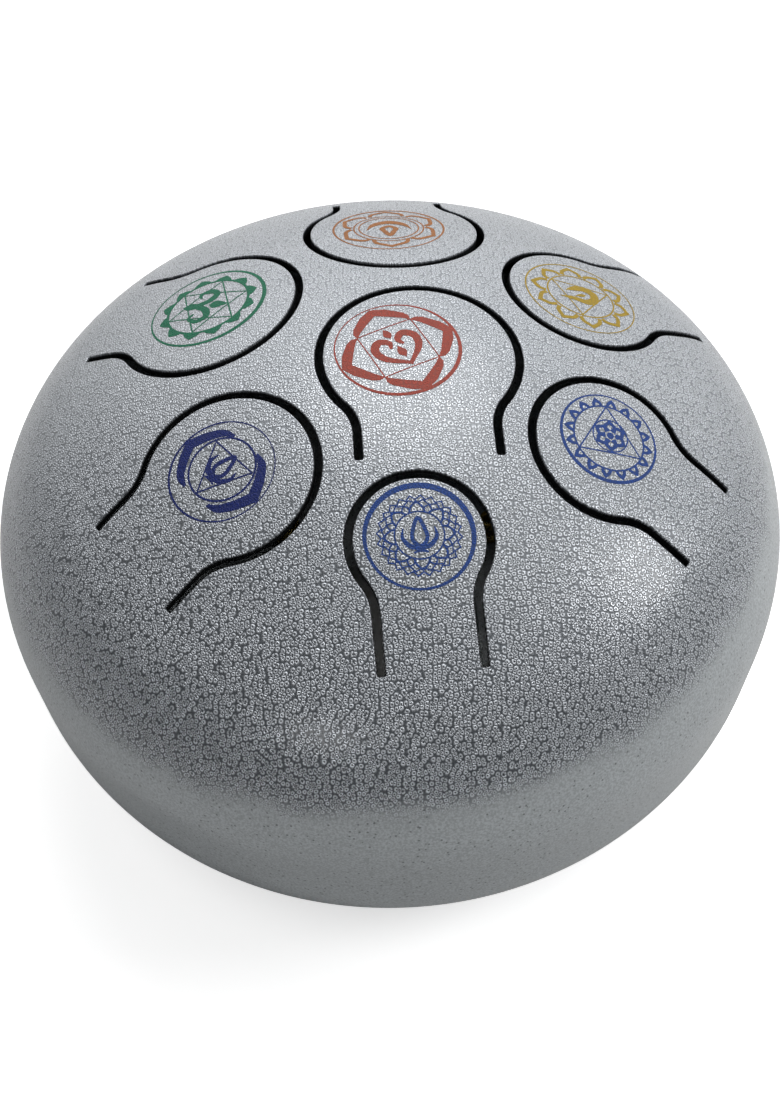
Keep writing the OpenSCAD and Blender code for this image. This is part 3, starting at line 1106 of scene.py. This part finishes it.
def back_print():
    """Six petals and two rings round a crescent."""
    shapes = eccentric_ring(0.026, 0.05, -90) + turned_round(arch(0.66, 0.3, 0.88, 0.85, 0.075), 6)
    for radius in (0.62, 0.53):
        shapes += border(circle(radius, 0, 0.04), 0.026)
    return shapes + moved(crescent_and_bud(0.08), 0, 0.02, 1.2)


def back_left_print():
    """Twelve petals on a ring round a six-pointed star, with curls."""
    leaf = filled(petal(0.7, 0.165, 0.85, 0.7))
    shapes = eccentric_ring(0.024, 0.07, 90) + turned_round(leaf, 12, 5)
    shapes += band(circle(0.72), circle(0.675), closed=True)
    for first in (5, 65):
        shapes += border(sides(*[polar(0.67, first + 120 * i) for i in range(3)]), 0.024)
    return shapes + moved(curls(0.09), 0, 0, 1.2, 8)


def front_left_print():
    """Two wide petals round a circle and a triangle on its point, with a lotus."""
    outer = smooth([(-0.3, 0.65), (-0.55, 0.61), (-0.78, 0.38), (-0.91, 0.15), (-0.99, 0)])
    inner = smooth([(-0.31, 0.585), (-0.43, 0.52), (-0.52, 0.43), (-0.66, 0.21), (-0.755, 0)])
    upper = band(outer, inner)
    leaves = moved(with_flipped(upper + [shape * (1, -1) for shape in upper]), 0, 0, 1, 4.5)
    shapes = eccentric_ring(0.018, 0.042, 225) + leaves + border(circle(0.624, 0, 0.03), 0.04)
    shapes += border(sides((-0.524, 0.3), (0.486, 0.357), (0.024, -0.567)), 0.03)
    return shapes + moved(lotus(0.085), 0, 0.03, 0.95)


# Where each print's middle is in its tongue's outline, the radius of its ring, and its ink
PRINTS = {
    "centre": ((-1.41, -3.69), 11.3, "red_print", centre_print),
    "front": ((-0.74, 0.06), 9.2, "blue_print", front_print),
    "front_right": ((-0.91, 1.33), 9.1, "blue_print", front_right_print),
    "back_right": ((-0.74, -0.25), 11.2, "yellow_print", back_right_print),
    "back": ((0.41, 0.99), 11.3, "orange_print", back_print),
    "back_left": ((0.5, -0.71), 11.7, "green_print", back_left_print),
    "front_left": ((0.14, -1.16), 9.6, "indigo_print", front_left_print),
}


def united(shapes, step):
    """Triangles that together cover the same places as the given ones, without overlaps."""
    shapes = np.round(np.array(shapes), PRINT_DECIMALS)
    corners, numbers = np.unique(shapes.reshape(-1, 2), axis=0, return_inverse=True)
    numbers = numbers.reshape(-1, 3)
    edges = np.sort(np.concatenate([numbers[:, :2], numbers[:, 1:], numbers[:, ::2]]), axis=1)
    edges = np.unique(edges[edges[:, 0] != edges[:, 1]], axis=0).tolist()
    grid = np.arange(-1, 1, step)
    loose = [(x, y) for x in grid for y in grid]
    points = [Vector(point) for point in [*corners.tolist(), *loose]]
    cut = delaunay_2d_cdt(points, edges, [], 0, PRINT_NEAR, False)
    flat = np.array([tuple(point) for point in cut[0]])
    triangles = np.array([list(face) for face in cut[2]])
    centres = flat[triangles].mean(axis=1)
    kept = np.zeros(len(centres), bool)
    for shape in shapes:
        along = np.roll(shape, -1, axis=0) - shape
        away = centres[:, None] - shape
        lefts = along[:, 0] * away[:, :, 1] - along[:, 1] * away[:, :, 0] > 0
        kept |= lefts.all(axis=1) | ~lefts.any(axis=1)
    used, triangles = np.unique(triangles[kept], return_inverse=True)
    return flat[used], triangles.reshape(-1, 3)


def make_prints():
    """Lays each print on its tongue's paint, to ride with it."""
    for tongue in TONGUES:
        (x, y), radius, ink, draw = PRINTS[tongue.place]
        flat, triangles = united(draw(), STEP / radius)
        outline = np.column_stack([x - radius * flat[:, 1], y + radius * flat[:, 0]])
        points, normals = dome(tongue.on_chart(outline), -INK_MM)
        skin = Skin()
        skin.add(points, normals, triangles)
        piece = skin.piece("print_" + tongue.place, INKS[ink], ink)
        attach(piece, tongue.place + "_tongue")


make_dome()
make_weld()
make_bowl()
make_prints()
paint_hardware()


# Floor and light

FLOOR_SPAN = 6.0
ROOM_LIGHT = 0.02
# How strongly the paper glows for the camera, and for mirrored rays
PAPER_GLOW = 0.8
MIRRORED_GLOW = 0.18
# Distances from the axis where each glow begins and is full. Nearer in the floor is darker, as
# painted shade
GLOW_FROM_TO = (SHELL_R / 2, SHELL_R)
MIRRORED_FROM_TO = (SHELL_R * 1.4, SHELL_R * 3)
PAPER_FIBRE_MM = 0.6
# How far a ray points to the back where the backdrop begins, and where it is full
BACKDROP_FROM_TO = (0.1, 0.9)


def seen_rays(tree):
    """Whether a ray comes straight from the camera, and whether by way of gloss or glass."""
    rays = node(tree, "LightPath").outputs
    mirrored_rays = worked(tree, "ADD", rays["Is Glossy Ray"], rays["Is Transmission Ray"])
    return rays["Is Camera Ray"], mirrored_rays


def floor_material():
    """Matt white paper. The camera and mirrored rays see it brighter than it is lit, but not under
    the drum, where it would shine up through the hole. The camera's glow fades out towards the
    drum, and mirrored rays see glow only far out, which paints shade on the floor round the drum."""
    material, tree, shader, in_mm = new_material("paper_sweep")
    fibres = spread(tree, noise(tree, in_mm, PAPER_FIBRE_MM, 2.0), 0.3, 0.7)
    seen, mirrored_rays = seen_rays(tree)
    away = length_of(tree, in_mm)
    # Painted shade: both glows fade out towards the drum
    near_glow = spread(tree, away, *GLOW_FROM_TO, 0.0, PAPER_GLOW)
    far_glow = spread(tree, away, *MIRRORED_FROM_TO, 0.0, MIRRORED_GLOW)
    near_glow = worked(tree, "MULTIPLY", seen, near_glow)
    far_glow = worked(tree, "MULTIPLY", mirrored_rays, far_glow)
    feed(tree, shader, {
        "Base Color": blended(tree, fibres, linear("#E2E2E2"), linear("#E6E6E6")),
        "Roughness": 0.9,
        "Emission Color": linear("#FFFFFF"),
        "Emission Strength": worked(tree, "ADD", near_glow, far_glow),
    })
    return material


def make_floor():
    """The flat sheet of paper that the drum stands on."""
    mesh = bpy.data.meshes.new("floor")
    half = FLOOR_SPAN / 2
    corners = [(-half, -half, 0), (half, -half, 0), (half, half, 0), (-half, half, 0)]
    mesh.from_pydata(corners, [], [(0, 1, 2, 3)])
    mesh.materials.append(floor_material())
    floor = put("floor", mesh)


def make_world():
    """A dim room. The camera sees white all round, and gloss shows a white backdrop."""
    world = bpy.data.worlds.new("studio")
    world.use_nodes = True
    tree = world.node_tree
    tree.nodes.clear()
    room = node(tree, "Background", {"Color": linear("#FFFFFF"), "Strength": ROOM_LIGHT})
    white = node(tree, "Background", {"Color": linear("#FFFFFF"), "Strength": 1.0})
    way = node(tree, "TexCoord").outputs["Generated"]
    behind = spread(tree, parts_of(tree, way)[1], *BACKDROP_FROM_TO)
    seen, mirrored_rays = seen_rays(tree)
    seen = worked(tree, "ADD", seen, worked(tree, "MULTIPLY", mirrored_rays, behind))
    mixed = node(tree, "MixShader", {0: seen, 1: room.outputs[0], 2: white.outputs[0]})
    node(tree, "OutputWorld", {"Surface": mixed.outputs[0]})
    bpy.context.scene.world = world


# Each light's bearing and angle above the drum in degrees, its distance and width in metres, and
# its power in watts
LIGHTS = {
    "key_back": (175, 59, 1.0, 0.6, 4.2),
    "key_high": (100, 65, 1.2, 0.9, 2.7),
    "window_right": (88, 40, 1.0, 0.3, 2.2),
    "window_front": (-19, 33, 1.0, 0.25, 0.8),
    "side_right": (115, 30, 1.2, 1.0, 1.1),
    "fill_back_left": (-150, 35, 1.2, 0.8, 1.2),
}


def make_light(name, bearing, lift, away, span, power):
    """A soft box on a bearing and at an angle above the drum, which it faces."""
    data = bpy.data.lights.new(name, "AREA")
    data.shape = "DISK"
    data.size = span
    data.energy = power
    light = put(name, data)
    turn, up = math.radians(bearing), math.radians(lift)
    way = Vector((math.sin(turn) * math.cos(up), -math.cos(turn) * math.cos(up), math.sin(up)))
    light.location = way * away + Vector((0, 0, SEAM_Z * MM))
    light.rotation_mode = "QUATERNION"
    light.rotation_quaternion = way.to_track_quat("Z", "Y")


make_floor()
make_world()
for light_name, light in LIGHTS.items():
    make_light(light_name, *light)
bpy.context.scene.view_settings.view_transform = "Standard"
